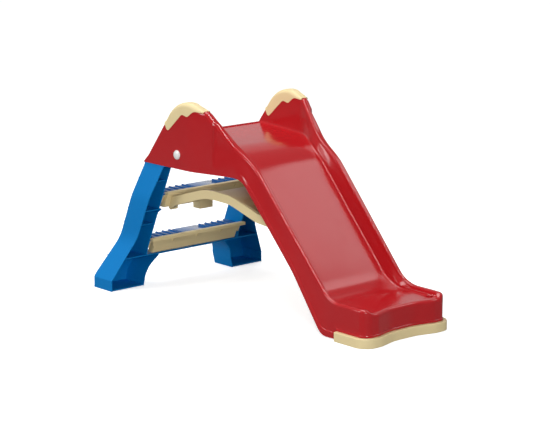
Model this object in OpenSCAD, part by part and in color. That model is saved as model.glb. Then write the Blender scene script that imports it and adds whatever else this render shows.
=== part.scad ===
// Folding toddler slide: one moulded chute, and a ladder that folds under it.
// Origin: on the floor, in the middle of the length. +X points to the exit, +Z up.

/* [Overall] */
// Length from the rear of the feet to the front of the exit
overall_length = 1230; // [1150:1:1500]
// Width across the two feet
base_width = 692; // [640:1:840]
// Height of the handles above the floor
overall_height = 692; // [650:1:850]

/* [Chute] */
// Width of the exit, outside the trim
exit_width = 396; // [370:1:420]
// Width of the sliding floor
floor_width = 292; // [240:1:300]
// Width across the two handles
hood_width = 494; // [480:1:520]
// Thickness of one hollow handle
handle_depth = 42; // [40:1:60]
// Wall of the mouldings
wall = 4; // [3:0.5:4.5]
// Height of the side walls above the floor, measured square to the slope
side_height = 47; // [40:1:70]
// Depth of the side skirts below the floor, measured square to the slope
skirt_drop = 21; // [12:1:40]
// Height of the exit floor
exit_z = 106; // [90:1:125]
// Length of the exit, from the foot of the slope to the front
exit_run = 240; // [200:1:280]
// How far the front of the exit curves in at its middle
exit_hollow = 20; // [5:1:30]

/* [Trim] */
// Height of the trim around the exit
trim_height = 32; // [22:1:45]
// Thickness of the trim, from the chute to its outer face
trim_thick = 14; // [8:1:18]
// Length of the trim along each side
trim_run = 144; // [110:1:180]
// Depth of the tongues that hold a cap in its handle
cap_tongue = 10; // [6:1:20]

/* [Ladder] */
// Height of the lower tread
lower_step_z = 180; // [160:1:200]
// Height of the upper tread
upper_step_z = 356; // [330:1:380]
// Depth of a tread, front to back
tread_depth = 76; // [60:1:84]
// Width of a foot at its open front
foot_width = 142; // [120:1:155]
// Height of a step's front below its tread
fascia_drop = 58; // [44:1:64]
// Spacing of the grip ribs on the treads
rib_pitch = 29; // [20:1:40]

/* [Pivots] */
// Radius of the shank of a pivot pin
pin_r = 8; // [6:0.1:10]
// Radius of the mushroom head of a pivot pin
pin_head_r = 16; // [12:0.5:20]
// Radius of the rods that carry the brace
rod_r = 4; // [3:0.1:5]
// Radial clearance of a pin in its hole
pin_gap = 0.08; // [0.02:0.01:0.1]
// Clearance between pieces that sit side by side
side_gap = 0.6; // [0.4:0.1:1.5]

/* [Brace] */
// Length of the brace from its pivot to its far end, measured along the floor
brace_reach = 535; // [480:1:545]
// Rise of the arch of the brace above its pivot
brace_rise = 66; // [40:1:70]
// Height of a brace arm
brace_height = 30; // [20:1:34]
// Thickness of a brace arm
arm_depth = 14; // [12:1:18]

/* [Hidden] */

$fn = 48;
red = "firebrick";
cream = "burlywood";
blue = "royalblue";

// ---- places along the side of the slide, worked out from the sizes above ----
rear_x = -overall_length / 2;
front_x = overall_length / 2;
half_hood = hood_width / 2;
half_exit = exit_width / 2 - trim_thick - side_gap;
half_base = base_width / 2;
handle_in = half_hood - handle_depth;
wall_in = floor_width / 2 + 8;

pivot_z = overall_height - 183;
hood_low_z = pivot_z - 49;
lean_front = 0.4428;
lean_rear = 0.413;
ankle_z = 45;
hood_reach = 187;
leg_reach = 78;
pivot_x = rear_x + hood_reach + (hood_low_z - ankle_z) * lean_rear;

platform_rear = pivot_x - 110;
platform_z = pivot_z + 51;
slope_top = [pivot_x + 237, platform_z - 21];
slope_foot = [front_x - exit_run, exit_z + 2];
slope = atan2(slope_top[1] - slope_foot[1], slope_foot[0] - slope_top[0]);
rim_rise = side_height / cos(slope);
skirt_fall = (skirt_drop + wall) / cos(slope);
foot_z = wall + side_gap;
exit_side_z = exit_z + 16;
exit_lap = trim_thick + side_gap;
// radius of the corners of the exit, outside the trim
exit_corner_r = 48;

// height of the sliding floor at a place along X, and the place at a height
function slope_z(x) = slope_top[1] - (x - slope_top[0]) * tan(slope);
function slope_x(z) = slope_top[0] + (slope_top[1] - z) / tan(slope);
// front and rear of a leg at a height
function leg_front(z) = pivot_x - leg_reach - (hood_low_z - z) * lean_front;
function leg_rear(z) = pivot_x - hood_reach - (hood_low_z - z) * lean_rear;

// ---- outlines with rounded corners: each point is [x, y, radius] ----
function unit(v) = v / norm(v);
function corner(a, b, c) =
    let (u = unit([a[0] - b[0], a[1] - b[1]]), v = unit([c[0] - b[0], c[1] - b[1]]),
        turn = 180 - acos(max(-1, min(1, u * v))),
        start = [b[0], b[1]] + u * b[2] * tan(turn / 2),
        centre = [b[0], b[1]] + unit(u + v) * (b[2] / cos(turn / 2)),
        side = sign(u[0] * v[1] - u[1] * v[0]),
        steps = max(2, ceil(turn / 9)),
        first = atan2(start[1] - centre[1], start[0] - centre[0]))
    [for (i = [0:steps]) centre + b[2] * [cos(first - side * turn * i / steps),
        sin(first - side * turn * i / steps)]];
function path(points) =
    let (n = len(points))
    [for (i = [0:n - 1])
        each (i == 0 || i == n - 1 || points[i][2] == 0) ? [[points[i][0], points[i][1]]]
            : corner(points[i - 1], points[i], points[i + 1])];
// a line moved sideways, to its left when the distance is positive
function left_of(line, i) =
    let (d = unit(line[min(len(line) - 1, i + 1)] - line[max(0, i - 1)])) [-d[1], d[0]];
function moved(line, by) = [for (i = [0:len(line) - 1]) line[i] + by * left_of(line, i)];
function backwards(line) = [for (i = [len(line) - 1:-1:0]) line[i]];
function band(line, thick) = concat(line, backwards(moved(line, thick)));
function mirrored(line) = [for (p = line) [p[0], -p[1]]];
function shifted(line, by) = [for (p = line) p + by];

module along_y(low, high) {
    translate([0, high, 0]) rotate([90, 0, 0]) linear_extrude(high - low) children();
}
module along_x(low, high) {
    translate([low, 0, 0]) rotate([90, 0, 90]) linear_extrude(high - low) children();
}
module both_sides() {
    children();
    mirror([0, 1, 0]) children();
}
module rod(r, low, high) {
    translate([0, high, 0]) rotate([90, 0, 0]) cylinder(r = r, h = high - low);
}
module at_pivot() {
    translate([pivot_x, 0, pivot_z]) children();
}

// ---- the chute: a floor, two hollow side walls that rise into the handles, and a skirt ----
floor_line = path([[platform_rear, platform_z - 30, 0], [platform_rear, platform_z, 18],
    [slope_top[0], slope_top[1], 240], [slope_foot[0], slope_foot[1], 150],
    [front_x + 5, exit_z, 0]]);
rim_top_z = pivot_z - 12;
top_line = path([[pivot_x - hood_reach, hood_low_z, 0], [pivot_x - 8, overall_height, 120],
    [pivot_x + 66, overall_height, 60], [pivot_x + 134, overall_height - 26, 28],
    [pivot_x + 237, pivot_z + 54, 200],
    [slope_x(rim_top_z - rim_rise), rim_top_z, 240],
    [slope_x(exit_side_z - rim_rise), exit_side_z, 110],
    [front_x - exit_lap - 4, exit_side_z - 4, 24], [front_x - exit_lap, foot_z, 0]]);
// the skirt gets deeper below this height
skirt_bend_z = 190;
skirt_extra = 40;
skirt_line = path([[pivot_x - hood_reach, hood_low_z, 0],
    [slope_x(hood_low_z + skirt_fall), hood_low_z, 100],
    [slope_x(skirt_bend_z + skirt_fall), skirt_bend_z, 400],
    [slope_x(foot_z + skirt_fall + skirt_extra), foot_z, 50], [front_x - exit_lap, foot_z, 0]]);
neck_x = pivot_x + 262;
// around the exit the chute keeps to the inside of the trim
trim_plan = path([[front_x - trim_run, exit_width / 2, 0], [front_x, exit_width / 2, exit_corner_r],
    [front_x, 122, 60], [front_x - exit_hollow, 50, 150], [front_x - exit_hollow, 0, 0]]);
outer_plan = concat(path([[pivot_x - hood_reach, half_hood, 0], [pivot_x + 147, half_hood, 22],
    [pivot_x + 162, half_hood - 31, 22], [neck_x, half_exit + 12, 200],
    [front_x - trim_run - 1, half_exit, 0]]), moved(trim_plan, -exit_lap));
inner_plan = path([[pivot_x - hood_reach, handle_in, 0], [pivot_x + 120, handle_in, 60],
    [neck_x + 10, wall_in, 90], [front_x + 5, wall_in, 0]]);

module plan(line) {
    polygon(concat(line, backwards(mirrored(line))));
}
// the band between a plan and the same plan a wall inside it, open at the rear
module plan_band(line, thick) {
    thinner = moved(line, -thick);
    rear = line[0][0] - 1;
    difference() {
        plan(line);
        polygon(concat([[rear, thinner[0][1]]], thinner, backwards(mirrored(thinner)),
            [[rear, -thinner[0][1]]]));
    }
}
module tall() {
    linear_extrude(overall_height + 20) children();
}
module across() {
    along_y(-half_hood - 1, half_hood + 1) children();
}
module side_area() {
    polygon(concat(top_line, backwards(skirt_line)));
}
module under_floor() {
    polygon(concat(moved(floor_line, -1), [[front_x + 5, -10], [platform_rear + 1, -10]]));
}
module outer_skirt() {
    difference() {
        intersection() {
            tall() plan_band(outer_plan, wall);
            across() side_area();
        }
        translate([front_x - 60, -wall_in, exit_z]) cube([80, 2 * wall_in, 40]);
    }
}
module sliding_floor() {
    intersection() {
        tall() plan(moved(inner_plan, wall));
        tall() plan(outer_plan);
        across() polygon(band(floor_line, -wall));
    }
}
module inner_walls() {
    intersection() {
        difference() {
            tall() plan(moved(inner_plan, wall));
            tall() plan(inner_plan);
        }
        tall() plan(outer_plan);
        across() difference() {
            side_area();
            under_floor();
        }
    }
}
module rims() {
    intersection() {
        difference() {
            tall() plan(outer_plan);
            tall() plan(inner_plan);
        }
        across() intersection() {
            polygon(band(top_line, -wall));
            side_area();
        }
    }
}
boss_r = pin_r + 9;
module pivot_bosses() {
    both_sides() at_pivot() {
        rod(boss_r, handle_in, handle_in + wall);
        translate([-boss_r, handle_in, 0]) cube([2 * boss_r, wall, platform_z - wall - pivot_z]);
    }
}
module chute() {
    color(red) difference() {
        union() {
            outer_skirt();
            sliding_floor();
            inner_walls();
            rims();
            pivot_bosses();
        }
        both_sides() at_pivot() rod(pin_r + pin_gap, handle_in - 10, half_hood + 10);
        both_sides() along_y(handle_in - 10, half_hood + 10) cap_area(side_gap / 2);
        trim_screw_places() screw_hole();
    }
}

// ---- caps: each closes the top of a handle and is held by tongues inside it ----
cap_rear = pivot_x - 66;
cap_front = pivot_x + 124;
cap_top = concat([[cap_rear, lookup(cap_rear, top_line)]],
    [for (p = top_line) if (p[0] > cap_rear && p[0] < cap_front) p],
    [[cap_front, lookup(cap_front, top_line)]]);
// the wavy lower edge, from the front to the rear
cap_edge = path([[cap_front, lookup(cap_front, top_line) - 6, 0],
    [pivot_x + 84, overall_height - 25, 30], [pivot_x + 54, overall_height - 48, 14],
    [pivot_x + 26, overall_height - 41, 18], [pivot_x - 52, overall_height - 110, 9],
    [cap_rear, lookup(cap_rear, top_line) - 10, 0]]);
module cap_area(more) {
    polygon(concat(shifted(cap_top, [0, 20]), shifted(cap_edge, [0, -more])));
}
cap_proud = 1.5;
cap_slack = 0.2;
// the plan of one handle, grown by a distance, or shrunk when it is negative
module handle_plan(grow) {
    intersection() {
        difference() {
            plan(moved(outer_plan, grow));
            plan(moved(inner_plan, -grow));
        }
        translate([rear_x, 0]) square([overall_length, base_width]);
    }
}
module handle_cap() {
    intersection() {
        tall() handle_plan(cap_proud);
        across() polygon(concat(cap_top, cap_edge));
        difference() {
            across() polygon(concat(shifted(cap_top, [0, 20]), shifted(cap_edge, [0, -20])));
            intersection() {
                tall() handle_plan(-wall);
                across() polygon(concat(moved(cap_top, -wall), shifted(cap_edge, [0, -40])));
            }
        }
    }
    intersection() {
        tall() difference() {
            handle_plan(-wall - cap_slack);
            handle_plan(-1.8 * wall);
        }
        across() intersection() {
            polygon(concat(shifted(cap_edge, [0, wall]),
                backwards(shifted(cap_edge, [0, -cap_tongue]))));
            polygon(concat(moved(top_line, -wall - cap_slack), [[pivot_x + 300, 0], [rear_x, 0]]));
        }
    }
    // the shoulder that joins the tongues to the skin
    intersection() {
        tall() difference() {
            handle_plan(-wall + 1);
            handle_plan(-1.8 * wall);
        }
        across() intersection() {
            polygon(concat(shifted(cap_edge, [0, wall]), backwards(cap_edge)));
            polygon(concat(moved(top_line, -wall + 1), [[pivot_x + 300, 0], [rear_x, 0]]));
        }
    }
}
module handle_cap_left() {
    color(cream) handle_cap();
}
module handle_cap_right() {
    color(cream) mirror([0, 1, 0]) handle_cap();
}

// ---- trim: wraps the foot of the exit and turns in under it ----
module base_trim() {
    color(cream) difference() {
        union() {
            linear_extrude(trim_height) plan_band(trim_plan, trim_thick);
            linear_extrude(wall) plan_band(trim_plan, trim_thick + 5 * wall);
        }
        trim_screw_places() screw_hole();
    }
}

// ---- screws: the head is below z = 0 of its place, the shank goes up ----
screw_r = 2;
screw_head_r = 4;
screw_head_h = 2;
screw_length = 1.6 * wall + side_gap;
module screw() {
    translate([0, 0, -screw_head_h]) cylinder(r = screw_head_r, h = screw_head_h);
    cylinder(r = screw_r, h = screw_length);
}
module screw_hole() {
    translate([0, 0, -1]) cylinder(r = screw_r + pin_gap, h = screw_length + 1.3);
}
trim_screw_x = [front_x - trim_run + 24, front_x - 60];
module trim_screw_places() {
    for (turn = [0, 1], x = trim_screw_x)
        mirror([0, turn, 0]) translate([x, half_exit - wall, foot_z + 12])
            rotate([-90, 0, 0]) children();
}
module trim_screws() {
    color("silver") trim_screw_places() screw();
}

// ---- legs: channels that are open to the front, with a lug inside the handle ----
leg_top_z = hood_low_z - 1;
leg_out_y = half_hood - 3;
leg_in_y = handle_in + 2;
lug_low = handle_in + wall + side_gap;
lug_high = half_hood - wall - side_gap;
shelf_z = [lower_step_z - fascia_drop - 10, upper_step_z - fascia_drop - 10];
leg_outer_line = path([[leg_out_y, leg_top_z, 0],
    [half_base - 78, (leg_top_z + upper_step_z) / 2 - 70, 180],
    [half_base - 75, lower_step_z, 120], [half_base, ankle_z - 7, 0], [half_base, 0, 0]]);
leg_inner_line = path([[half_base - foot_width, 0, 0], [half_base - foot_width - 18, 74, 80],
    [leg_in_y - 57, shelf_z[0], 0], [leg_in_y - 57, shelf_z[0] + wall, 0],
    [leg_in_y, shelf_z[0] + wall, 0], [leg_in_y, shelf_z[1] - 8, 0],
    [leg_in_y - 12, shelf_z[1], 0], [leg_in_y - 12, shelf_z[1] + wall, 0],
    [leg_in_y, shelf_z[1] + wall, 0], [leg_in_y, leg_top_z, 0]]);
leg_front_line = path([[leg_front(leg_top_z), leg_top_z, 0], [leg_front(150), 150, 200],
    [leg_front(ankle_z) + 12, ankle_z - 9, 10], [leg_front(ankle_z) + 12, 0, 0]]);
leg_rear_line = path([[rear_x, 0, 0], [rear_x, ankle_z, 60], [leg_rear(leg_top_z), leg_top_z, 0]]);
module leg_side() {
    polygon(concat(leg_front_line, leg_rear_line));
}
module leg_room() {
    high = shelf_z[0];
    polygon(concat(moved(leg_outer_line, -wall), [[half_base - foot_width + wall, 0],
        [half_base - foot_width - 18 + wall, 74], [leg_in_y - 57 + wall, high - 2],
        [leg_in_y + wall, high], [leg_in_y + wall, leg_top_z]]));
}
module leg_inside() {
    intersection() {
        along_x(rear_x - 10, pivot_x + 10) difference() {
            leg_room();
            translate([0, -1]) square([half_base, wall + 1]);
            for (z = shelf_z) translate([0, z]) square([half_base, wall]);
            translate([0, leg_top_z - wall]) square([half_base, wall + 10]);
        }
        translate([wall, 0, 0]) along_y(0, half_base) polygon(concat([[pivot_x, leg_top_z],
            [pivot_x, 0]], leg_rear_line));
    }
}
// a thin strap below the front of the lower step, from each leg to the middle
strap_z = shelf_z[0];
module strap() {
    front = leg_front(strap_z) + fascia_out;
    translate([front - 30, side_gap, strap_z]) cube([30, leg_in_y - 54, wall]);
}
lug_r = pin_r + 20;
module lug_side() {
    polygon([[leg_rear(leg_top_z) + 12, leg_top_z - wall], [leg_rear(leg_top_z) + 40, leg_top_z + 30],
        [pivot_x - 8, pivot_z + lug_r - 2], [pivot_x + lug_r - 4, pivot_z - 8],
        [leg_front(leg_top_z), leg_top_z - wall]]);
    translate([pivot_x, pivot_z]) circle(lug_r);
}
module lug() {
    for (y = [lug_low, lug_high - 6]) along_y(y, y + 6) lug_side();
    at_pivot() rod(pin_r + 6, lug_low, lug_high);
}
module leg() {
    difference() {
        union() {
            intersection() {
                along_y(0, half_base + 1) leg_side();
                along_x(rear_x - 10, pivot_x + 10)
                    polygon(concat(leg_outer_line, leg_inner_line));
            }
            lug();
            strap();
        }
        leg_inside();
        at_pivot() rod(pin_r + pin_gap, lug_low - 1, lug_high + 1);
        step_screw_places() screw_hole();
    }
}
module leg_left() {
    color(blue) leg();
}
module leg_right() {
    color(blue) mirror([0, 1, 0]) leg();
}

// ---- step supports: a tray under the tread, with a lipped front that slants like the legs ----
step_z = [lower_step_z, upper_step_z];
tray_z = [for (z = step_z) z - 12];
tray_out = leg_in_y - side_gap;
rail_out = 18;
fascia_out = 8;
rail_half = [leg_in_y + 4, leg_in_y - 4];
fascia_half = [leg_in_y - 10, leg_in_y - 12];
fascia_low_half = [leg_in_y - 19, leg_in_y - 12];
function tread_front(i) = leg_front(step_z[i]) - 3;
function tread_rear(i) = tread_front(i) - tread_depth;

function step_bottom(i) = step_z[i] - fascia_drop;
module tray_section(i) {
    low = tray_z[i];
    polygon([[tread_rear(i) + 4, low - 14], [tread_rear(i) + 4, low], [tread_front(i) + 2, low],
        [tread_front(i) + 2, low - wall], [tread_rear(i) + 4 + wall, low - wall],
        [tread_rear(i) + 4 + wall, low - 14]]);
}
module front_section(i) {
    z = step_z[i];
    low = tray_z[i];
    bottom = step_bottom(i);
    front = leg_front(z) + rail_out;
    back = fascia_out - 1.1 * wall;
    polygon([[tread_front(i) + 1, low - wall], [tread_front(i) + 1, z], [front - 2, z + 1],
        [front, z - 1], [front, low + 2], [leg_front(low) + fascia_out, low],
        [leg_front(bottom) + fascia_out, bottom], [leg_front(bottom) - 18, bottom],
        [leg_front(bottom) - 18, bottom + wall], [leg_front(bottom + wall) + back, bottom + wall],
        [leg_front(low - wall) + back, low - wall]]);
}
// front view: the rail is widest, and the fascia curves in below it
module step_front(i) {
    low = tray_z[i];
    bottom = step_bottom(i);
    side = path([[rail_half[i], step_z[i] + 2, 0], [rail_half[i], low + 1, 0],
        [fascia_half[i], low - 2, 0], [fascia_half[i] - 2, low - 16, 14],
        [fascia_low_half[i], low - 22, 10], [fascia_low_half[i], bottom - 1, 0]]);
    polygon(concat(side, backwards([for (p = side) [-p[0], p[1]]])));
}
module end_walls(i) {
    low = tray_z[i];
    bottom = step_bottom(i);
    both_sides() along_y(fascia_low_half[i] - wall, fascia_low_half[i])
        polygon([[leg_front(low) + fascia_out - 1, low - 1],
            [leg_front(bottom) + fascia_out - 1, bottom + 1],
            [leg_front(bottom) - 18, bottom + 1], [leg_front(low) - 18, low - 1]]);
}
module gussets(i) {
    low = tray_z[i];
    for (y = [-110, 0, 110])
        along_y(y - wall / 2, y + wall / 2) polygon([[leg_front(step_z[i]) + rail_out - 2, low + 2],
            [leg_front(low) + fascia_out - 1, low + 2], [leg_front(low - 16) + fascia_out - 1, low - 16]]);
}
module side_flanges(i) {
    both_sides() along_y(tray_out - wall, tray_out)
        polygon([[tread_rear(i) + 8, tray_z[i] - 1], [tread_front(i) - 2, tray_z[i] - 1],
            [tread_front(i) - 14, tray_z[i] - 26], [tread_rear(i) + 8, tray_z[i] - 26]]);
}
module step_support(i) {
    difference() {
        union() {
            along_y(-tray_out, tray_out) tray_section(i);
            intersection() {
                along_y(-half_base, half_base) front_section(i);
                along_x(rear_x, pivot_x + 100) step_front(i);
                // behind the front of the legs it fits between them
                union() {
                    along_y(-tray_out, tray_out) square([2 * overall_length, 2 * overall_height],
                        center = true);
                    along_y(-half_base, half_base) translate([leg_front(step_z[i]) + side_gap, 0])
                        square([200, overall_height]);
                }
            }
            end_walls(i);
            gussets(i);
            side_flanges(i);
        }
        step_screw_places() screw_hole();
        tread_screw_places() screw_hole();
    }
}
// the arms turn this far below the tray of the upper step, so that they clear its rail
brace_hang = 46;
brace_pin_z = tray_z[1] - brace_hang;
brace_pin = [leg_front(brace_pin_z) + fascia_out + 11, brace_pin_z];
arm_out = half_exit - wall - 4;
ear_out = arm_out - arm_depth - side_gap;
ear_depth = 12;
ear_r = rod_r + 5;
module brace_ears() {
    both_sides() difference() {
        union() {
            translate([brace_pin[0], 0, brace_pin[1]]) rod(ear_r, ear_out - ear_depth, ear_out);
            along_y(ear_out - ear_depth, ear_out) polygon([[brace_pin[0], brace_pin[1] - ear_r],
                [brace_pin[0], brace_pin[1] + ear_r], [leg_front(brace_pin[1] + 20) + fascia_out - 2,
                brace_pin[1] + 20], [leg_front(brace_pin[1]) + fascia_out - 2, brace_pin[1] - 4]]);
        }
        translate([brace_pin[0], 0, brace_pin[1]])
            rod(rod_r + pin_gap, ear_out - ear_depth - 1, ear_out + 1);
    }
}
catch_half = 29;
// a block under the middle of the upper step
module catch_block() {
    rear = leg_front(upper_step_z) - 62;
    translate([rear, -catch_half, brace_pin[1] - 30])
        cube([38, 2 * catch_half, tray_z[1] - wall / 2 - brace_pin[1] + 30]);
}
module upper_step_support() {
    color(cream) {
        step_support(1);
        brace_ears();
        catch_block();
    }
}
module lower_step_support() {
    color(cream) step_support(0);
}

// ---- treads: a plate with a smooth middle and ribs on both sides of it ----
rib_width = 5;
rib_height = 5;
plate = 7;
module tread(i) {
    half = leg_in_y - side_gap;
    low = tray_z[i];
    count = floor((half - 69) / rib_pitch);
    difference() {
        union() {
            translate([tread_rear(i), -half, low]) cube([tread_depth, 2 * half, plate]);
            translate([tread_rear(i), -half, low - 12]) cube([wall - side_gap, 2 * half, 12.5]);
            translate([tread_rear(i) + 2, -52, low]) cube([tread_depth - 4, 104, plate + 2]);
            both_sides() for (k = [0:count])
                translate([tread_rear(i) + 3, 69 + k * rib_pitch - rib_width / 2, low])
                    cube([tread_depth - 4, rib_width, plate + rib_height]);
        }
        tread_screw_places() screw_hole();
    }
}
module upper_tread() {
    color(blue) tread(1);
}
module lower_tread() {
    color(blue) tread(0);
}
module tread_screw_places() {
    for (i = [0, 1], y = [-160, -40, 40, 160])
        translate([tread_rear(i) + tread_depth / 2, y + 14.5 * sign(y), tray_z[i] - wall])
            children();
}
module tread_screws() {
    color("silver") tread_screw_places() screw();
}
module step_screw_places() {
    for (turn = [0, 1], i = [0, 1], x = [20, 50])
        mirror([0, turn, 0])
            translate([tread_rear(i) + x, tray_out - wall, tray_z[i] - 18])
                rotate([-90, 0, 0]) children();
}
module step_screws() {
    color("silver") step_screw_places() screw();
}

// ---- brace: two arched arms and a web, hung on the upper step ----
brace_far = [brace_pin[0] + brace_reach, brace_pin[1] + 28];
brace_mid = path([[brace_pin[0] + 16, brace_pin[1] + 23, 0],
    [brace_pin[0] + 0.36 * brace_reach, brace_pin[1] + brace_rise + 12, 260],
    [brace_pin[0] + 0.6 * brace_reach, brace_pin[1] + brace_rise + 8, 160],
    [brace_pin[0] + 0.86 * brace_reach, brace_pin[1] + 34, 80],
    [brace_far[0], brace_far[1], 0]]);
module arm_side() {
    polygon(concat(moved(brace_mid, brace_height / 2), backwards(moved(brace_mid, -brace_height / 2))));
    translate(brace_pin) circle(ear_r);
    polygon([brace_pin + [-ear_r * 0.85, 3], brace_pin + [7, 36], brace_pin + [40, 42],
        brace_pin + [30, 12], brace_pin + [ear_r, -2]]);
}
module brace() {
    color(cream) difference() {
        union() {
            both_sides() along_y(arm_out - arm_depth, arm_out) arm_side();
            intersection() {
                along_y(-arm_out + 1, arm_out - 1)
                    polygon(concat(moved(brace_mid, 2), backwards(moved(brace_mid, 2 - wall))));
                translate([brace_pin[0] + 0.33 * brace_reach, -half_base, 0])
                    cube([overall_length, base_width, overall_height]);
            }
        }
        both_sides() translate([brace_pin[0], 0, brace_pin[1]])
            rod(rod_r + pin_gap, 0, arm_out - 3);
    }
}
module brace_rod() {
    translate([brace_pin[0], 0, brace_pin[1]]) rod(rod_r, ear_out - ear_depth - 3, arm_out - 4);
}
module brace_rod_left() {
    color("silver") brace_rod();
}
module brace_rod_right() {
    color("silver") mirror([0, 1, 0]) brace_rod();
}

// ---- pivot pins: a mushroom head outside the handle, a clip on the inner end ----
head_h = 9;
module pivot_pin() {
    at_pivot() {
        rod(pin_r, handle_in - 9, half_hood + 1);
        translate([0, half_hood + side_gap / 2, 0]) rotate([-90, 0, 0]) intersection() {
            cylinder(r = pin_head_r, h = head_h);
            translate([0, 0, head_h - 20]) sphere(r = 20);
        }
    }
}
module pin_clip() {
    at_pivot() difference() {
        rod(pin_r + 5, handle_in - 5, handle_in - side_gap / 2);
        rod(pin_r + pin_gap, handle_in - 20, handle_in + 20);
    }
}
module pivot_pin_left() {
    color("white") pivot_pin();
}
module pivot_pin_right() {
    color("white") mirror([0, 1, 0]) pivot_pin();
}
module pin_clip_left() {
    color("silver") pin_clip();
}
module pin_clip_right() {
    color("silver") mirror([0, 1, 0]) pin_clip();
}

chute();
handle_cap_left();
handle_cap_right();
base_trim();
leg_left();
leg_right();
upper_step_support();
lower_step_support();
upper_tread();
lower_tread();
brace();
pivot_pin_left();
pivot_pin_right();
pin_clip_left();
pin_clip_right();
brace_rod_left();
brace_rod_right();
trim_screws();
step_screws();
tread_screws();
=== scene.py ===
import math

import bmesh
import bpy
import numpy as np
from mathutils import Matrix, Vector


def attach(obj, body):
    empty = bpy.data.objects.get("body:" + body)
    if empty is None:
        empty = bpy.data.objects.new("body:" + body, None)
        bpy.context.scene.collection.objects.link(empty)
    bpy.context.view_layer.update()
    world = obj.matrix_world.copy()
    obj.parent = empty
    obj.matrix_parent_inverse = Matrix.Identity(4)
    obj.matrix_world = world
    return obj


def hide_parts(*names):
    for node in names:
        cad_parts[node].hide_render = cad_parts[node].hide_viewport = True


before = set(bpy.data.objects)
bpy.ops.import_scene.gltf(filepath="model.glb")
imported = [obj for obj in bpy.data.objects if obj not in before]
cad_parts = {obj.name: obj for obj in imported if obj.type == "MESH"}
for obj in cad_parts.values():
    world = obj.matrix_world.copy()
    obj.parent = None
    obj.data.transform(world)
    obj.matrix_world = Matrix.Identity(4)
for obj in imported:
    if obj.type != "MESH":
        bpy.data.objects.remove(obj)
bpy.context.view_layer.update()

# All sizes are in millimetres in the object's own frame: +X to the exit, +Z up.
pivot = {"x": -256.605, "z": 509.0}
chuteSize = {
    "frontX": 600.4, "halfHood": 247.0, "halfExit": 183.4, "handleIn": 205.0,
    "platformRear": -366.605, "platformZ": 560.0, "hoodLowZ": 460.0, "topZ": 692.0,
    "slopeTop": (-19.605, 539.0), "slopeFoot": (375.0, 108.0), "exitZ": 106.0, "footZ": 4.6,
    "rimRise": 69.59, "rimTopZ": 497.0, "skirtFall": 37.02, "skirtBendZ": 190.0, "skirtExtra": 40.0,
    "exitSideZ": 122.0, "skin": 3.4, "rimRadius": 8.5, "floorRadius": 9.0, "bandHeight": 20.0,
    "bandDepth": 3.2, "sideLean": 7.0, "stepX": 147.0, "stepDepth": 31.0, "hollow": 20.0,
}
capSize = {"rear": -322.605, "front": -132.605, "proud": 1.2, "skin": 2.4, "radius": 15.0}
trimSize = {"rearX": 471.0, "frontX": 615.0, "half": 198.0, "corner": 48.0, "height": 32.0,
            "thick": 14.0, "wall": 4.0, "lip": 34.0}
legSize = {"wall": 4.0, "corner": 11.0, "halfBase": 346.0, "footWidth": 142.0, "insideY": 207.0,
           "haunchZ": 112.0, "gussetZ": 288.0, "topZ": 459.0, "lugRadius": 28.0, "pinBoss": 14.0}
treadSize = {"depth": 76.0, "half": 206.4, "plate": 7.0, "ribHeight": 5.0, "ribWidth": 5.0,
             "ribPitch": 29.0, "firstRib": 69.0, "ribCount": 5, "padHalf": 52.0,
             "stepZ": (180.0, 356.0)}
pinSize = {"headRadius": 16.0, "headHeight": 9.0, "shank": 8.0}

mm = 0.001


def smooth(t):
    t = min(1.0, max(0.0, t))
    return t * t * (3 - 2 * t)


def rounded(points, turnStep=7.0):
    line = []
    for i, (px, py, r) in enumerate(points):
        here = Vector((px, py))
        if i in (0, len(points) - 1) or r == 0:
            line.append(here)
            continue
        back = (Vector(points[i - 1][:2]) - here).normalized()
        ahead = (Vector(points[i + 1][:2]) - here).normalized()
        turn = math.pi - back.angle(ahead)
        steps = max(3, math.ceil(math.degrees(turn) / turnStep))
        start = here + back * (r * math.tan(turn / 2))
        centre = here + (back + ahead).normalized() * (r / math.cos(turn / 2))
        side = 1 if back.x * ahead.y - back.y * ahead.x > 0 else -1
        first = math.atan2(start.y - centre.y, start.x - centre.x)
        for k in range(steps + 1):
            a = first - side * turn * k / steps
            line.append(centre + r * Vector((math.cos(a), math.sin(a))))
    return line


def lookup(line, flip=False):
    pairs = sorted((p.y, p.x) if flip else (p.x, p.y) for p in line)
    keys = np.array([p[0] for p in pairs]) + np.arange(len(pairs)) * 1e-7
    values = np.array([p[1] for p in pairs])
    return lambda at: float(np.interp(at, keys, values))


def resampled(line, step):
    lengths = np.cumsum([0] + [(b - a).length for a, b in zip(line, line[1:])])
    count = max(2, round(lengths[-1] / step))
    spots = np.linspace(0, lengths[-1], count + 1)
    xs = np.interp(spots, lengths, [p.x for p in line])
    ys = np.interp(spots, lengths, [p.y for p in line])
    return [Vector((x, y)) for x, y in zip(xs, ys)]


def arc(cx, cz, r, low, high, steps):
    return [(cx + r * math.cos(math.radians(low + (high - low) * k / steps)),
             cz + r * math.sin(math.radians(low + (high - low) * k / steps)))
            for k in range(steps + 1)]


# ---- meshes ----
def loft(rings, closed=False, ends=False):
    count = len(rings[0])
    verts = [tuple(c * mm for c in p) for ring in rings for p in ring]
    faces = []
    for i in range(len(rings) - 1):
        for j in range(count if closed else count - 1):
            k = (j + 1) % count
            faces.append((i * count + j, i * count + k, (i + 1) * count + k, (i + 1) * count + j))
    if ends:
        faces.append(tuple(range(count))[::-1])
        faces.append(tuple((len(rings) - 1) * count + j for j in range(count)))
    return verts, faces


def mirrored(part):
    verts, faces = part
    return [(x, -y, z) for x, y, z in verts], [f[::-1] for f in faces]


def merged(*parts):
    verts, faces = [], []
    for v, f in parts:
        start = len(verts)
        verts += v
        faces += [tuple(i + start for i in face) for face in f]
    return verts, faces


def prism(outline, low, high):
    return loft([[(x, y, z) for x, z in outline] for y in (low, high)], closed=True, ends=True)


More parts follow.
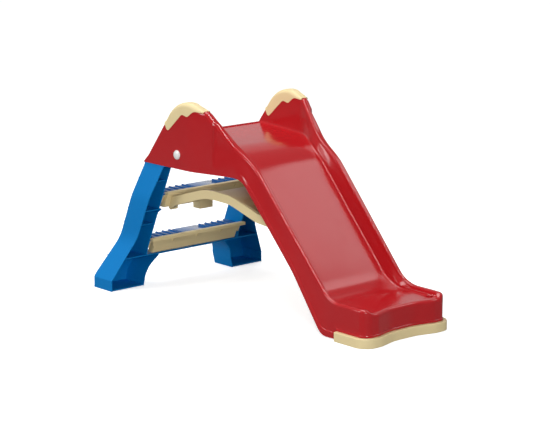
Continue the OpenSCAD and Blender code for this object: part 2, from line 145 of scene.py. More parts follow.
# a circle round the ladder's hinge line, seen from the side
def disc(radius, count):
    turns = [math.tau * i / count for i in range(count)]
    return [(pivot["x"] + radius * math.cos(a), pivot["z"] + radius * math.sin(a)) for a in turns]


def roundedBox(x0, x1, y0, y1, z0, z1, r):
    rings = []
    h = z1 - z0
    for dz, inset in ((0, r * 0.4), (r * 0.4, 0), (h - r, 0), (h - r * 0.3, r * 0.3), (h, r)):
        a0, a1, b0, b1, q = x0 + inset, x1 - inset, y0 + inset, y1 - inset, r
        corners = [(a1 - q, b1 - q, 0), (a0 + q, b1 - q, 90), (a0 + q, b0 + q, 180), (a1 - q, b0 + q, 270)]
        rings.append([(cx + q * math.cos(a), cy + q * math.sin(a), z0 + dz)
                      for cx, cy, s in corners for a in [math.radians(s + d) for d in (0, 30, 60, 90)]])
    return loft(rings, closed=True, ends=True)


def meshOf(name, part, closed=True, join=1e-6, sharp=38):
    mesh = bpy.data.meshes.new(name)
    mesh.from_pydata(part[0], [], part[1])
    bm = bmesh.new()
    bm.from_mesh(mesh)
    bmesh.ops.remove_doubles(bm, verts=bm.verts, dist=join)
    bmesh.ops.dissolve_degenerate(bm, edges=bm.edges, dist=1e-7)
    if closed:
        bmesh.ops.recalc_face_normals(bm, faces=bm.faces)
    elif sum(f.normal.z * f.calc_area() for f in bm.faces) < 0:
        bmesh.ops.reverse_faces(bm, faces=bm.faces)
    bm.to_mesh(mesh)
    bm.free()
    mesh.shade_smooth()
    mesh.set_sharp_from_angle(angle=math.radians(sharp))
    thing = bpy.data.objects.new(name, mesh)
    bpy.context.scene.collection.objects.link(thing)
    return thing


def baked(thing):
    bpy.context.view_layer.update()
    shape = thing.evaluated_get(bpy.context.evaluated_depsgraph_get())
    mesh = bpy.data.meshes.new_from_object(shape)
    old = thing.data
    thing.modifiers.clear()
    thing.data = mesh
    mesh.name = thing.name
    if old.users == 0:
        bpy.data.meshes.remove(old)
    return thing


def thickened(thing, thickness):
    skin = thing.modifiers.new("skin", "SOLIDIFY")
    skin.thickness = thickness * mm
    skin.offset = -1
    skin.use_even_offset = False
    baked(thing)
    thing.data.set_sharp_from_angle(angle=math.radians(38))
    return thing


def softened(node, name, width, segments=2, angle=28):
    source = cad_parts[node]
    bm = bmesh.new()
    bm.from_mesh(source.data)
    bm.transform(source.matrix_world)
    bmesh.ops.remove_doubles(bm, verts=bm.verts, dist=2e-6)
    bmesh.ops.dissolve_limit(bm, angle_limit=math.radians(0.9), verts=bm.verts, edges=bm.edges)
    bmesh.ops.recalc_face_normals(bm, faces=bm.faces)
    mesh = bpy.data.meshes.new(name)
    bm.to_mesh(mesh)
    bm.free()
    thing = bpy.data.objects.new(name, mesh)
    bpy.context.scene.collection.objects.link(thing)
    edges = thing.modifiers.new("edges", "BEVEL")
    edges.width = width * mm
    edges.segments = segments
    edges.limit_method = "ANGLE"
    edges.angle_limit = math.radians(angle)
    edges.use_clamp_overlap = True
    baked(thing)
    thing.data.shade_smooth()
    thing.data.set_sharp_from_angle(angle=math.radians(32))
    return thing


# ---- materials ----
def surfaceGroup():
    group = bpy.data.node_groups.new("mouldedSurface", "ShaderNodeTree")
    face = group.interface
    for label, kind, value in (("Base Color", "NodeSocketColor", (0.5, 0.5, 0.5, 1)),
                               ("Roughness", "NodeSocketFloat", 0.35),
                               ("Grain Scale", "NodeSocketFloat", 900.0),
                               ("Grain Depth", "NodeSocketFloat", 0.12),
                               ("Ripple Depth", "NodeSocketFloat", 0.1),
                               ("Tint Amount", "NodeSocketFloat", 0.05)):
        face.new_socket(label, in_out="INPUT", socket_type=kind).default_value = value
    face.new_socket("Color", in_out="OUTPUT", socket_type="NodeSocketColor")
    face.new_socket("Roughness", in_out="OUTPUT", socket_type="NodeSocketFloat")
    face.new_socket("Normal", in_out="OUTPUT", socket_type="NodeSocketVector")
    nodes, links = group.nodes, group.links
    given, out = nodes.new("NodeGroupInput"), nodes.new("NodeGroupOutput")
    place = nodes.new("ShaderNodeTexCoord")

    def noise(scale, detail):
        made = nodes.new("ShaderNodeTexNoise")
        made.inputs["Scale"].default_value = scale
        made.inputs["Detail"].default_value = detail
        links.new(place.outputs["Object"], made.inputs["Vector"])
        return made

    def calc(kind, a, b=None, c=None):
        made = nodes.new("ShaderNodeMath")
        made.operation = kind
        for slot, value in zip(made.inputs, (a, b, c)):
            if hasattr(value, "is_linked"):
                links.new(value, slot)
            elif value is not None:
                slot.default_value = value
        return made.outputs[0]

    grain, ripple, cloud, smear = noise(900, 3), noise(5.5, 1), noise(7, 4), noise(38, 5)
    links.new(given.outputs["Grain Scale"], grain.inputs["Scale"])
    wave = nodes.new("ShaderNodeBump")
    wave.inputs["Distance"].default_value = 0.012
    links.new(given.outputs["Ripple Depth"], wave.inputs["Strength"])
    links.new(ripple.outputs[0], wave.inputs["Height"])
    fine = nodes.new("ShaderNodeBump")
    fine.inputs["Distance"].default_value = 0.0004
    links.new(given.outputs["Grain Depth"], fine.inputs["Strength"])
    links.new(grain.outputs[0], fine.inputs["Height"])
    links.new(wave.outputs[0], fine.inputs["Normal"])
    links.new(fine.outputs[0], out.inputs["Normal"])
    rough = calc("MULTIPLY_ADD", smear.outputs[0], 0.12, -0.06)
    rough = calc("ADD", rough, given.outputs["Roughness"])
    links.new(rough, out.inputs["Roughness"])
    shift = calc("SUBTRACT", cloud.outputs[0], 0.5)
    shift = calc("MULTIPLY", shift, given.outputs["Tint Amount"])
    value = calc("ADD", shift, 1.0)
    tint = nodes.new("ShaderNodeHueSaturation")
    links.new(value, tint.inputs["Value"])
    links.new(given.outputs["Base Color"], tint.inputs["Color"])
    links.new(tint.outputs[0], out.inputs["Color"])
    return group


moulded = surfaceGroup()


def material(name, color, roughness, coat=0.0, grain=0.1, ripple=0.05, metallic=0.0, tint=0.06,
             specular=0.5, grainScale=900.0):
    made = bpy.data.materials.new(name)
    made.use_nodes = True
    nodes, links = made.node_tree.nodes, made.node_tree.links
    shader = nodes["Principled BSDF"]
    effect = nodes.new("ShaderNodeGroup")
    effect.node_tree = moulded
    effect.inputs["Base Color"].default_value = (*color, 1)
    effect.inputs["Roughness"].default_value = roughness
    effect.inputs["Grain Scale"].default_value = grainScale
    effect.inputs["Grain Depth"].default_value = grain
    effect.inputs["Ripple Depth"].default_value = ripple
    effect.inputs["Tint Amount"].default_value = tint
    links.new(effect.outputs["Color"], shader.inputs["Base Color"])
    links.new(effect.outputs["Roughness"], shader.inputs["Roughness"])
    links.new(effect.outputs["Normal"], shader.inputs["Normal"])
    shader.inputs["Metallic"].default_value = metallic
    shader.inputs["Specular IOR Level"].default_value = specular
    shader.inputs["Coat Weight"].default_value = coat
    shader.inputs["Coat Roughness"].default_value = 0.12
    return made


looks = {
    "red": material("redPlastic", (0.47, 0.008, 0.012), 0.17, coat=0.15, grain=0.04, ripple=0.12,
                    specular=0.42),
    "cream": material("creamPlastic", (0.84, 0.69, 0.38), 0.42, grain=0.14, tint=0.08, specular=0.3),
    "blue": material("bluePlastic", (0.0005, 0.21, 0.58), 0.45, grain=0.16, tint=0.1, specular=0.16),
    "tread": material("treadPlastic", (0.001, 0.1, 0.34), 0.07, coat=0.9, grain=0.015, ripple=0.03),
    "white": material("whitePlastic", (0.86, 0.86, 0.84), 0.18, coat=0.3, grain=0.03, tint=0.03),
    "steel": material("platedSteel", (0.6, 0.6, 0.62), 0.26, metallic=1.0, grain=0.2, grainScale=2200),
}


def placed(thing, node, body, look):
    thing.data.materials.clear()
    thing.data.materials.append(looks[look])
    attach(thing, body)
    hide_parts(node)
    return thing


# ---- chute ----
c = chuteSize
px, pz = pivot["x"], pivot["z"]
grade = (c["slopeTop"][1] - c["slopeFoot"][1]) / (c["slopeFoot"][0] - c["slopeTop"][0])


def slopeX(z):
    return c["slopeTop"][0] + (c["slopeTop"][1] - z) / grade


floorLine = rounded([(c["platformRear"], c["platformZ"] - 30, 0),
                     (c["platformRear"], c["platformZ"], 18), (*c["slopeTop"], 240),
                     (*c["slopeFoot"], 150), (c["frontX"] + 10, c["exitZ"], 0)], 3)
topLine = rounded([(px - 187, c["hoodLowZ"], 0), (px - 8, c["topZ"], 120), (px + 66, c["topZ"], 60),
                   (px + 134, c["topZ"] - 26, 28), (px + 237, pz + 54, 200),
                   (slopeX(c["rimTopZ"] - c["rimRise"]), c["rimTopZ"], 240),
                   (slopeX(c["exitSideZ"] - c["rimRise"]), c["exitSideZ"], 110),
                   (c["frontX"] + 10, c["exitSideZ"], 0)], 4)
skirtLine = rounded([(px - 187, c["hoodLowZ"], 0),
                     (slopeX(c["hoodLowZ"] + c["skirtFall"]), c["hoodLowZ"], 100),
                     (slopeX(c["skirtBendZ"] + c["skirtFall"]), c["skirtBendZ"], 400),
                     (slopeX(c["footZ"] + c["skirtFall"] + c["skirtExtra"]), c["footZ"], 50),
                     (c["frontX"] + 10, c["footZ"], 0)], 4)
outerLine = rounded([(px - 187, c["halfHood"], 0), (px + 70, c["halfHood"], 260),
                     (px + 262, c["halfExit"] + 14, 200), (471, c["halfExit"], 100),
                     (600, c["halfExit"], 0)], 4)
# the plan near the top, where the front of each handle steps in
stepLine = rounded([(px - 187, c["halfHood"], 0), (px + c["stepX"], c["halfHood"], 22),
                    (px + c["stepX"] + 15, c["halfHood"] - c["stepDepth"], 22),
                    (px + 262, c["halfExit"] + 12, 200), (600, c["halfExit"], 0)], 6)
innerLine = rounded([(px - 187, c["handleIn"], 0), (px + 120, c["handleIn"], 60),
                     (px + 262, 165, 110), (600, 161, 0)], 4)
floorAt, topAt = lookup([p for p in floorLine if p.y > 0 and p.x > c["platformRear"] + 17]), lookup(topLine)
skirtAt, outerAt, innerAt = lookup(skirtLine), lookup(outerLine), lookup(innerLine)
stepAt = lookup(stepLine)
sectionFloor = 6


def profile(width, foot, bottom, top, floor, band, flange, outerR, innerR, floorR, groove=0.0, slant=0.0):
    height = top - bottom
    outerR = min(outerR, height * 0.45, width * 0.48)
    innerR = min(innerR, max(0.5, (top - floor) * 0.55), height * 0.45, width * 0.45)
    floorR = min(floorR, max(0.4, (top - floor) * 0.4))
    points = []
    for k, (rise, share) in enumerate(((0, 1), (c["bandHeight"] - 3, 1), (c["bandHeight"] - 1, 0.9),
                                       (c["bandHeight"] + 1.5, 0.12), (c["bandHeight"] + 3, 0))):
        points.append((-band * share, bottom + min(rise, height * 0.1 * k)))
    upper, lower = top - outerR, points[-1][1]
    for k, (level, share) in enumerate(((31.5, 0), (32.6, 1), (37.6, 1), (39.6, 0.1), (42, 0))):
        plain = lower + (upper - lower) * (k + 1) * 0.07
        points.append((-2.4 * flange * share, plain + (level - plain) * flange))
    last = points[-1][1]
    points += [(0, last + (upper - last) * s) for s in (0.2, 0.45, 0.7, 0.9)]
    points += arc(outerR, upper, outerR, 180, 90, 8)
    points += [((outerR + width - innerR) / 2, top)]
    points += arc(width - innerR, top - innerR, innerR, 90, 0, 7)
    low = floor + floorR
    points += [(width + (foot - width) * s, (top - innerR) + (low - top + innerR) * s)
               for s in (0.25, 0.5, 0.75)]
    points += arc(foot + floorR, low, floorR, 180, 270, sectionFloor)
    if groove or slant:
        points = [(t + (groove * smooth((z - bottom - 15) / 95) + slant * smooth((z - bottom) / height))
                   * max(0, min(1, 1 - (t - width * 0.3) / (width * 0.65))), z) for t, z in points]
    return points


# how far the upper part of a side stands in from its lower part
def grooveAt(x):
    return max(0.0, outerAt(x) - stepAt(x))


def sideProfile(x, openBelow=False):
    out, inside = outerAt(x), innerAt(x)
    capped = smooth((x - capSize["rear"] - 2) / 5) * (1 - smooth((x - capSize["front"] + 7) / 5))
    top = topAt(x) - 3.6 * capped
    width = out - inside
    handle = 1 - smooth((x + 120) / 90)
    lean = 13 * (1 - handle)
    floor = c["hoodLowZ"] if openBelow else floorAt(x)
    band = c["bandDepth"] * smooth((x + 10) / 70) * (1 - smooth((x - 430) / 50))
    flange = smooth((x - 455) / 18)
    radius = c["rimRadius"] + 6.5 * handle
    slant = c["sideLean"] * smooth((x + 40) / 90) * (1 - smooth((x - 380) / 90))
    return profile(width, width + lean * (0 if openBelow else 1), skirtAt(x), max(top, skirtAt(x) + 1.5),
                   min(floor, top - 1), band, flange, radius, radius, c["floorRadius"], grooveAt(x), slant)


def sideRing(x, openBelow=False):
    out = outerAt(x)
    points = sideProfile(x, openBelow)
    if openBelow:
        points = points[:-sectionFloor - 1]
        points.append((points[-1][0], c["hoodLowZ"]))
    return [(x, out - t, z) for t, z in points]


blendX = 540.0
noseX = c["platformRear"] + 18
# closer sections where the front of the handle steps in
side = [noseX + (px + 132 - noseX) * k / 50 for k in range(50)]
side += [px + 132 + 40 * k / 24 for k in range(24)]
side += [px + 172 + (blendX - px - 172) * k / 124 for k in range(125)]
rings = []
for x in side:
    half = sideRing(x)
    edge = half[-1][1]
    floor = half[-1][2]
    across = [(x, edge * (1 - 2 * k / 16), floor) for k in range(1, 16)]
    rings.append(half + across + [(a, -b, z) for a, b, z in reversed(half)])
body = loft(rings)
rearX = [px - 187 + 1.5 + (noseX - px + 187 - 1.5) * k / 24 for k in range(25)]
rear = loft([sideRing(x, True) for x in rearX])
noseLine = [Vector((c["platformRear"] + 3, c["platformZ"] - 31))]
noseLine += [p for p in floorLine if p.x < noseX + 0.5]
nose = loft([[(p.x, 204.6 * s, p.y) for p in noseLine] for s in (1, 0.5, 0, -0.5, -1)])

tr = trimSize


# the trim's outline from start to the middle of the exit, moved in by inset
def exitOutline(start, inset):
    line = rounded([(start, tr["half"], 0), (tr["frontX"], tr["half"], tr["corner"]),
                    (tr["frontX"], 122, 60), (tr["frontX"] - c["hollow"], 50, 150),
                    (tr["frontX"] - c["hollow"], 0, 0)], 4)
    moved = []
    for i, here in enumerate(line):
        run = (line[min(i + 1, len(line) - 1)] - line[max(i - 1, 0)]).normalized()
        moved.append(here + inset * Vector((run.y, -run.x)))
    return moved


frontPlan = resampled(exitOutline(blendX, tr["half"] - c["halfExit"]), 4.5)
along = np.cumsum([0] + [(b - a).length for a, b in zip(frontPlan, frontPlan[1:])])
cornerRadius = tr["corner"] - tr["half"] + c["halfExit"]
cornerEnd = c["frontX"] - cornerRadius - blendX + cornerRadius * math.pi / 2
frontRings = []
for k, here in enumerate(frontPlan):
    ahead, back = frontPlan[min(k + 1, len(frontPlan) - 1)], frontPlan[max(k - 1, 0)]
    run = (ahead - back).normalized()
    inward = Vector((run.y, -run.x))
    if k == 0:
        inward = Vector((0, -1))
    if k == len(frontPlan) - 1:
        inward = Vector((-1, 0))
    lip = smooth((along[k] - cornerEnd + 34) / 48)
    start = smooth(along[k] / 34)
    width = 22.4 + (26 - 22.4) * lip
    footIn = 35.4 - 3.4 * start
    top = topAt(min(blendX + along[k], 600)) * (1 - lip) + (c["exitZ"] + 1.2) * lip
    outerR = c["rimRadius"] + 3.5 * start + 10 * lip
    points = profile(width, footIn, c["footZ"], top, floorAt(min(here.x, 560)), 0, 1, outerR,
                     c["rimRadius"] + 2 * start, c["floorRadius"] * (1 - 0.3 * start))
    ring = [(here.x + inward.x * t, here.y + inward.y * t, z) for t, z in points]
    ending = Vector((blendX, min(here.y * 0.96, 139)))
    last = Vector(ring[-1][:2])
    if k == 0:
        ending = last
    for s in (0.34, 0.67, 1):
        p = last + (ending - last) * s
        ring.append((p.x, p.y, floorAt(p.x) - 0.02 * s))
    frontRings.append(ring)
front = loft(frontRings)
chuteShell = meshOf("chuteShell", merged(body, rear, mirrored(rear), nose, front, mirrored(front)),
                    closed=False, join=4e-5)
thickened(chuteShell, c["skin"])
bosses = []
for sign in (1, -1):
    bosses.append(prism(disc(17, 48), sign * (c["handleIn"] - 0.4), sign * (c["handleIn"] + 5.5)))
bossShape = meshOf("pinBosses", merged(*bosses))
placed(chuteShell, "chute", "slide", "red")
bossShape.data.materials.append(looks["red"])
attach(bossShape, "slide")
print("chute", len(chuteShell.data.polygons), flush=True)

# ---- caps ----
k = capSize
edgeLine = rounded([(k["rear"], topAt(k["rear"]) - 10, 0), (px - 52, c["topZ"] - 110, 9),
                    (px + 26, c["topZ"] - 41, 18), (px + 54, c["topZ"] - 48, 14),
                    (px + 84, c["topZ"] - 25, 30), (k["front"], topAt(k["front"]) - 6, 0)], 5)
edgeAt = lookup(edgeLine)
capRings = []
for i in range(121):
    x = k["rear"] + (k["front"] - k["rear"]) * i / 120
    top = topAt(x)
    out, inside = outerAt(x) + k["proud"], innerAt(x) - k["proud"]
    low = min(edgeAt(x), top - 2)
    width = out - inside
    r = min(k["radius"], (top - low) * 0.8, width * 0.48)
    ring = [(0, low + (top - r - low) * s) for s in (0, 0.12, 0.4, 0.7)] + arc(r, top - r, r, 180, 90, 8)
    ring += [(width * 0.5, top)] + arc(width - r, top - r, r, 90, 0, 8)
    ring += [(width, low + (top - r - low) * s) for s in (0.7, 0.4, 0.12, 0)]
    capRings.append([(x, out - t, z) for t, z in ring])
cap = loft(capRings)
for name, part in (("handle_cap_left", cap), ("handle_cap_right", mirrored(cap))):
    shape = meshOf(name + "_shape", part, closed=False)
    placed(thickened(shape, k["skin"]), name, "slide", "cream")
print("caps", flush=True)

# ---- trim ----
t = trimSize
trimPlan = resampled(exitOutline(t["rearX"], 0), 5)
trimPlan += [Vector((p.x, -p.y)) for p in reversed(trimPlan[:-1])]
w, h, d = t["wall"], t["height"], t["thick"]
trimSection = ([(1, 0), (0, 1), (0, 3)] + [(0, h * s) for s in (0.3, 0.6)] + arc(3, h - 3, 3, 180, 90, 5)
               + arc(d - 1, h - 1, 1, 90, 0, 3) + [(d, h * 0.5), (d, w + 1), (d + 1, w), (t["lip"] - 1, w),
               (t["lip"], w - 1), (t["lip"], 0)])
trimRings = []
for i, here in enumerate(trimPlan):
    run = (trimPlan[min(i + 1, len(trimPlan) - 1)] - trimPlan[max(i - 1, 0)]).normalized()
    inward = Vector((run.y, -run.x))
    trimRings.append([(here.x + inward.x * a, here.y + inward.y * a, z) for a, z in trimSection])
placed(meshOf("trimRing", loft(trimRings, closed=True, ends=True)), "base_trim", "slide", "cream")
print("trim", flush=True)

# ---- legs ----
g = legSize


def legFront(z):
    return px - 78 - (c["hoodLowZ"] - z) * 0.4428


def legRear(z):
    return px - 187 - (c["hoodLowZ"] - z) * 0.413


outLine = lookup(rounded([(244, 459, 0), (268, 337.5, 180), (271, 180, 120), (346, 38, 3),
                          (346, 0, 0)], 4), True)
inLine = lookup(rounded([(204, 0, 0), (186, 74, 80), (150, g["haunchZ"] - 1, 3), (151, g["haunchZ"] + 4, 2),
                         (207, g["haunchZ"] + 5, 6), (207, g["gussetZ"] - 9, 4), (195, g["gussetZ"], 1.5),
                         (196, g["gussetZ"] + 4, 1.5), (207, g["gussetZ"] + 5, 2), (207, 459, 0)], 8), True)
frontLine = lookup(rounded([(legFront(459), 459, 0), (legFront(150), 150, 200), (legFront(45) + 12, 36, 12),
                            (legFront(45) + 12, 0, 0)], 4), True)
rearLine = lookup(rounded([(-615, 0, 0), (-615, 45, 60), (legRear(459), 459, 0)], 4), True)


def channelRing(z):
    xf, xr, yo, yi, w = frontLine(z), rearLine(z), outLine(z), inLine(z), g["wall"]
    yin = inLine(z + 4 if z < 135 else z) + w
    corner = g["corner"]
    deep = [(xr + corner * (1 - math.cos(math.radians(a))), yo - corner * (1 - math.sin(math.radians(a))))
            for a in (90, 72, 54, 36, 18, 0)]
    ring = [(xf - 1.2, yo), (xf - 20, yo), ((xf + xr) / 2, yo)] + deep
    ring += [(xr, yo - (yo - yi) * 0.5)]
    ring += [(xr + corner * (1 - math.cos(math.radians(a))), yi + corner * (1 - math.sin(math.radians(a))))
             for a in (0, 18, 36, 54, 72, 90)]
    ring += [((xf + xr) / 2, yi), (xf - 20, yi), (xf - 1.2, yi), (xf, yi + 1.2), (xf, yin - 1.2),
             (xf - 1.2, yin), (xf - 20, yin), (xr + w + 6, yin), (xr + w + 1.6, yin + 1.6),
             (xr + w, yin + 6), (xr + w, yo - w - 6), (xr + w + 1.6, yo - w - 1.6), (xr + w + 6, yo - w),
             (xf - 20, yo - w), (xf - 1.2, yo - w), (xf, yo - w + 1.2), (xf, yo - 1.2)]
    return [(x, y, z) for x, y in ring]


# closer sections at the foot's sole, at its haunch and at the gusset
soleLevels = [0, 1.2, 4, 10, 20, 30, 34, 36.5, 38, 39.5, 42, 46] + list(range(52, 106, 4))
haunchLevels = [106, 107, 108, 109, 110, 110.7, 111.2, 111.7, 112.3, 113, 114, 115, 115.6, 116, 116.3,
                116.6, 116.9, 117.3, 118, 119, 120, 122, 126] + list(range(132, 276, 6))
gussetLevels = [278, 280, 282, 284, 286, 287, 287.6, 288, 289, 291, 291.6, 292, 292.4, 292.9, 293.6,
                295] + list(range(300, 459, 6)) + [459]
levels = sorted(soleLevels + haunchLevels + gussetLevels)
channel = loft([channelRing(z) for z in levels], closed=True, ends=True)


def shelf(z, thick, start=None, r=0.8):
    rings = []
    for dz, inset in ((0, r), (r, 0), (thick - r, 0), (thick, r)):
        h = z + dz
        xf, xr = frontLine(z) - 2 - inset, rearLine(z) + 3
        yo, yi = outLine(z) - 2.5, (inLine(z) if start is None else start) + 2.5
        rings.append([(xf, yi, h), (xf, yo, h), (xr, yo, h), (xr, yi, h)])
    return loft(rings, closed=True, ends=True)


haunch = g["haunchZ"]
strapX = legFront(haunch) + 8
strap = roundedBox(strapX - 30, strapX, 0.6, 154, haunch, haunch + g["wall"], 0.9)
pieces = [channel, strap, shelf(0.3, 4.2), shelf(haunch, 4, 150), shelf(g["gussetZ"], 4, 195),
          shelf(454.6, 4.4), shelf(236, 3, 207), shelf(400, 3, 207)]
lug = [(legRear(459) + 12, 455), (legRear(459) + 40, 489)]
lug += [(px + g["lugRadius"] * math.cos(math.radians(a)), pz + g["lugRadius"] * math.sin(math.radians(a)))
        for a in range(130, -50, -12)]
lug += [(legFront(459), 455)]
pieces += [prism(lug, y, y + 6) for y in (209.6, 236.4)]
pieces += [prism(disc(g["pinBoss"], 40), 209.6, 242.4)]
leg = merged(*pieces)
for name, part in (("leg_left", leg), ("leg_right", mirrored(leg))):
    placed(meshOf(name + "_shape", part, join=1e-7), name, "ladder", "blue")
print("legs", flush=True)

# ---- treads: the ribs are instances on a row of points ----
t = treadSize


def ribGroup():
    group = bpy.data.node_groups.new("ribRow", "GeometryNodeTree")
    face = group.interface
    face.new_socket("Geometry", in_out="INPUT", socket_type="NodeSocketGeometry")
    face.new_socket("Rib", in_out="INPUT", socket_type="NodeSocketObject")
    face.new_socket("Count", in_out="INPUT", socket_type="NodeSocketInt").default_value = 5
    face.new_socket("First", in_out="INPUT", socket_type="NodeSocketFloat").default_value = 0.069
    face.new_socket("Pitch", in_out="INPUT", socket_type="NodeSocketFloat").default_value = 0.029
    face.new_socket("Material", in_out="INPUT", socket_type="NodeSocketMaterial")
    face.new_socket("Geometry", in_out="OUTPUT", socket_type="NodeSocketGeometry")
    nodes, links = group.nodes, group.links
    given, out = nodes.new("NodeGroupInput"), nodes.new("NodeGroupOutput")
    joined = nodes.new("GeometryNodeJoinGeometry")
    for sign in (1, -1):
        row = nodes.new("GeometryNodeMeshLine")
        links.new(given.outputs["Count"], row.inputs["Count"])
        for label, socket in (("First", "Start Location"), ("Pitch", "Offset")):
            scaled = nodes.new("ShaderNodeMath")
            scaled.operation = "MULTIPLY"
            scaled.inputs[1].default_value = sign
            links.new(given.outputs[label], scaled.inputs[0])
            spot = nodes.new("ShaderNodeCombineXYZ")
            links.new(scaled.outputs[0], spot.inputs["Y"])
            links.new(spot.outputs[0], row.inputs[socket])
        source = nodes.new("GeometryNodeObjectInfo")
        links.new(given.outputs["Rib"], source.inputs["Object"])
        copies = nodes.new("GeometryNodeInstanceOnPoints")
        links.new(row.outputs[0], copies.inputs["Points"])
        links.new(source.outputs["Geometry"], copies.inputs["Instance"])
        links.new(copies.outputs[0], joined.inputs[0])
    real = nodes.new("GeometryNodeRealizeInstances")
    painted = nodes.new("GeometryNodeSetMaterial")
    links.new(joined.outputs[0], real.inputs[0])
    links.new(real.outputs[0], painted.inputs[0])
    links.new(given.outputs["Material"], painted.inputs["Material"])
    both = nodes.new("GeometryNodeJoinGeometry")
    links.new(given.outputs["Geometry"], both.inputs[0])
    links.new(painted.outputs[0], both.inputs[0])
    links.new(both.outputs[0], out.inputs[0])
    return group


ribRow = ribGroup()


for name, stepZ in (("lower_tread", t["stepZ"][0]), ("upper_tread", t["stepZ"][1])):
    x1 = legFront(stepZ) - 3
    x0, low = x1 - t["depth"], stepZ - 12
    plate = merged(roundedBox(x0, x1, -t["half"], t["half"], low, low + t["plate"], 1.4),
                   roundedBox(x0, x0 + 3.4, -t["half"] + 1, t["half"] - 1, low - 12, low + 2, 0.8),
                   roundedBox(x0 + 2, x1 - 2, -t["padHalf"], t["padHalf"], low + 4,
                              low + t["plate"] + 2, 2))
    shape = meshOf(name + "_shape", plate)
    rise = t["plate"] + t["ribHeight"]
    one = meshOf("oneRib", roundedBox(x0 + 3, x1 - 1, -t["ribWidth"] / 2, t["ribWidth"] / 2,
                                      low + 4, low + rise, 1.6))
    shape.data.materials.append(looks["tread"])
    row = shape.modifiers.new("ribs", "NODES")
    row.node_group = ribRow
    values = {"Rib": one, "Count": t["ribCount"], "First": t["firstRib"] * mm, "Pitch": t["ribPitch"] * mm,
              "Material": looks["tread"]}
    for item in ribRow.interface.items_tree:
        if item.in_out == "INPUT" and item.name in values:
            row[item.identifier] = values[item.name]
    baked(shape)
    bpy.data.objects.remove(one)
    shape.data.set_sharp_from_angle(angle=math.radians(38))
    placed(shape, name, "ladder", "tread")
print("treads", flush=True)

# ---- pieces that keep their CAD form, with softened edges ----
for node, body, slot, look, width in (
        ("upper_step_support", "ladder", "cream", "cream", 1.2),
        ("lower_step_support", "ladder", "cream", "cream", 1.2),
        ("brace", "brace", "cream", "cream", 2.6),
        ("brace_rod_left", "ladder", "steel", "steel", 0.5),
        ("brace_rod_right", "ladder", "steel", "steel", 0.5),
        ("pin_clip_left", "slide", "steel", "steel", 0.5),
        ("pin_clip_right", "slide", "steel", "steel", 0.5),
        ("trim_screws", "slide", "steel", "steel", 0.3),
        ("step_screws", "ladder", "steel", "steel", 0.3),
        ("tread_screws", "ladder", "steel", "steel", 0.3)):
    placed(softened(node, node + "_shape", width), node, body, look)
print("softened pieces", flush=True)

# ---- pivot pins ----
p = pinSize
head = [(0.0, 196.0), (p["shank"] - 1, 196.0), (p["shank"], 197.0), (p["shank"], 247.2), (15.2, 247.2)]
head += [(p["headRadius"], 247.9), (15.9, 249.6)]
head += [(15.9 * math.cos(math.radians(a)), 249.6 + 6.2 * math.sin(math.radians(a)))
         for a in range(12, 90, 12)]
head += [(0.0, 247.3 + p["headHeight"])]
pinRings = [[(x, y, z) for x, z in disc(r, 56)] for r, y in head]
pin = loft(pinRings, closed=True)
for name, part in (("pivot_pin_left", pin), ("pivot_pin_right", mirrored(pin))):
    placed(meshOf(name + "_shape", part), name, "slide", "white")
print("pins", flush=True)


# ---- studio ----
# the backdrop is brighter for the camera than for the surfaces that reflect it
def plainMaterial(name, shade, glow, otherShade, otherGlow):
    made = bpy.data.materials.new(name)
    made.use_nodes = True
    nodes, links = made.node_tree.nodes, made.node_tree.links
    shader = nodes["Principled BSDF"]
    path = nodes.new("ShaderNodeLightPath")
    for low, high, socket in ((otherGlow, glow, "Emission Strength"), (otherShade, shade, "Base Color")):
        level = nodes.new("ShaderNodeMapRange")
        level.inputs["To Min"].default_value = low
        level.inputs["To Max"].default_value = high
        links.new(path.outputs["Is Camera Ray"], level.inputs["Value"])
        links.new(level.outputs[0], shader.inputs[socket])
    shader.inputs["Roughness"].default_value = 0.85
    shader.inputs["Emission Color"].default_value = (1, 1, 1, 1)
    return made


def sheet(name, corners, look):
    mesh = bpy.data.meshes.new(name)
    mesh.from_pydata(corners, [], [(0, 1, 2, 3)])
    mesh.materials.append(look)
    thing = bpy.data.objects.new(name, mesh)
    bpy.context.scene.collection.objects.link(thing)


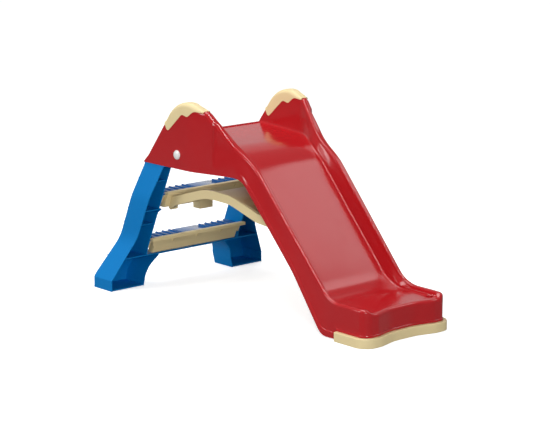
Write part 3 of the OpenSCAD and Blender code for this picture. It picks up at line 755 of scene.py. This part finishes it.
sheet("studioFloor", [(-40, -40, -0.0005), (40, -40, -0.0005), (40, 40, -0.0005), (-40, 40, -0.0005)],
      plainMaterial("floorWhite", 0.9, 0.66, 0.2, 0.06))
sheet("studioWall", [(-22, -2, -0.1), (4, 22, -0.1), (4, 22, 12), (-22, -2, 12)],
      plainMaterial("wallWhite", 0.9, 1.0, 0.5, 0.45))


def softbox(name, place, target, width, height, power, onlyGloss=False):
    data = bpy.data.lights.new(name, "AREA")
    data.shape = "RECTANGLE"
    data.size, data.size_y = width, height
    data.energy = power
    lamp = bpy.data.objects.new(name, data)
    lamp.location = place
    lamp.rotation_euler = (Vector(target) - Vector(place)).to_track_quat("-Z", "Y").to_euler()
    lamp.visible_diffuse = not onlyGloss
    bpy.context.scene.collection.objects.link(lamp)


softbox("overhead", (-0.5, -0.3, 3.6), (-0.1, 0, 0.3), 2.0, 2.0, 72)
softbox("nearLeft", (-1.6, -3.4, 1.9), (-0.1, 0, 0.3), 1.4, 1.4, 50)
softbox("exitSide", (3.3, -2.1, 1.2), (0.0, 0, 0.25), 1.2, 1.0, 62)
softbox("behind", (0.75, 2.0, 2.35), (0.12, 0, 0.38), 1.0, 0.9, 7, onlyGloss=True)
softbox("strip", (1.3, -0.35, 2.3), (0.2, 0, 0.3), 0.16, 1.5, 32, onlyGloss=True)

world = bpy.data.worlds.new("studio")
bpy.context.scene.world = world
world.use_nodes = True
world.node_tree.nodes["Background"].inputs["Color"].default_value = (1, 1, 1, 1)
world.node_tree.nodes["Background"].inputs["Strength"].default_value = 0.3

bpy.context.scene.view_settings.view_transform = "Standard"
cameraData = bpy.data.cameras.new("camera")
cameraData.lens = 135.2
cameraData.sensor_width = 36
cameraData.clip_end = 100
camera = bpy.data.objects.new("camera", cameraData)
camera.location = (5.1112, -4.5239, 1.7910)
camera.rotation_euler = Vector((-0.7337, 0.6446, -0.2147)).to_track_quat("-Z", "Y").to_euler()
bpy.context.scene.collection.objects.link(camera)
bpy.context.scene.camera = camera
print("studio", flush=True)
